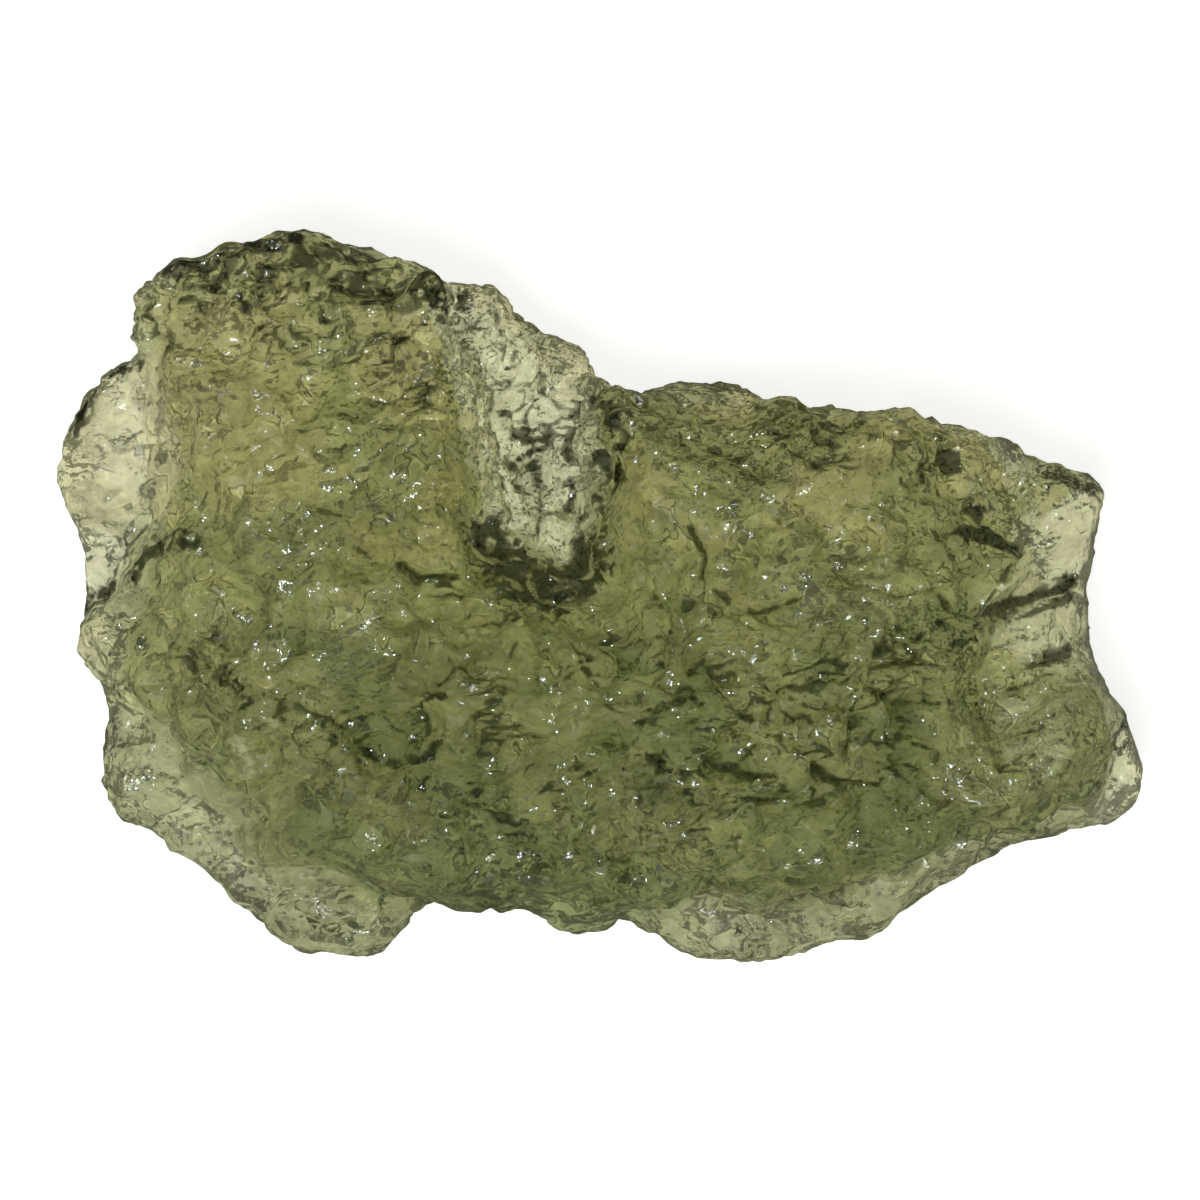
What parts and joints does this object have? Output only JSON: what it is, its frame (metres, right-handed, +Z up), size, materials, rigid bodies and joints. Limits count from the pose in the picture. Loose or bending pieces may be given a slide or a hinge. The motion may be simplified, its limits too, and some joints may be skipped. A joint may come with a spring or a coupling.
{
  "type": "moldavite",
  "caption": "Natural chip of olive-green moldavite glass with a pitted, wrinkled skin, thin clear edges and a V-shaped hollow in one side, for display or collecting.",
  "frame": {"origin": "middle of the bounding box, at the height of the small flat spot that the chip rests on", "axes": "+X along the chip's length, towards its hollow right end; +Y across it, towards the edge with the V-shaped hollow; +Z up, from the resting spot towards the pitted upper side"},
  "size_m": [0.03, 0.0202, 0.0088],
  "materials": {
    "green_glass": "etched natural surface, satin with small bright glints"
  },
  "bodies": {
    "root": {"moldavite": "green_glass"}
  },
  "joints": []
}
